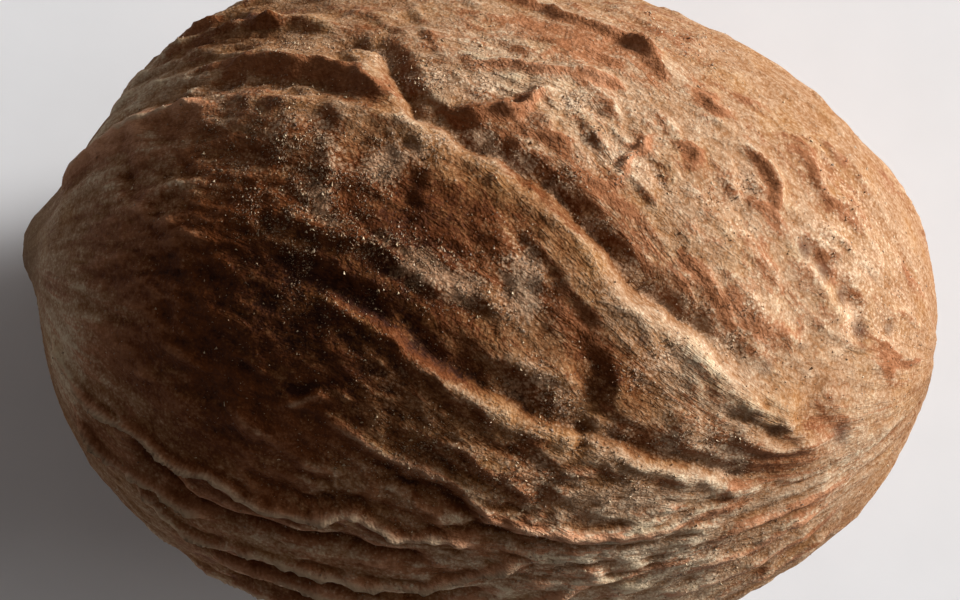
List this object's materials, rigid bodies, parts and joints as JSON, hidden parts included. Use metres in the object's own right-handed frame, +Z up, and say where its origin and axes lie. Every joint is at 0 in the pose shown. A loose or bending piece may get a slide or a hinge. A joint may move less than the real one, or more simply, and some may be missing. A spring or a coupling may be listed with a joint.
{
  "type": "whole nutmeg",
  "caption": "Whole dried nutmeg kernel, an egg-shaped spice seed with wandering folds, a small stalk nub and a small flat spot to rest on.",
  "frame": {"origin": "centre of the bounding box's footprint, on the flat spot the nutmeg rests on", "axes": "+X along the nutmeg's long axis towards the blossom end, where the folds run together, with the stalk nub at -X; +Z up; +Y completes the right-handed frame"},
  "size_m": [0.0264, 0.0194, 0.0187],
  "materials": {
    "nutmeg_skin": "dry matt brown skin, tan on the fold crests and dark in the creases"
  },
  "bodies": {
    "root": {"nutmeg": "nutmeg_skin"}
  },
  "joints": []
}
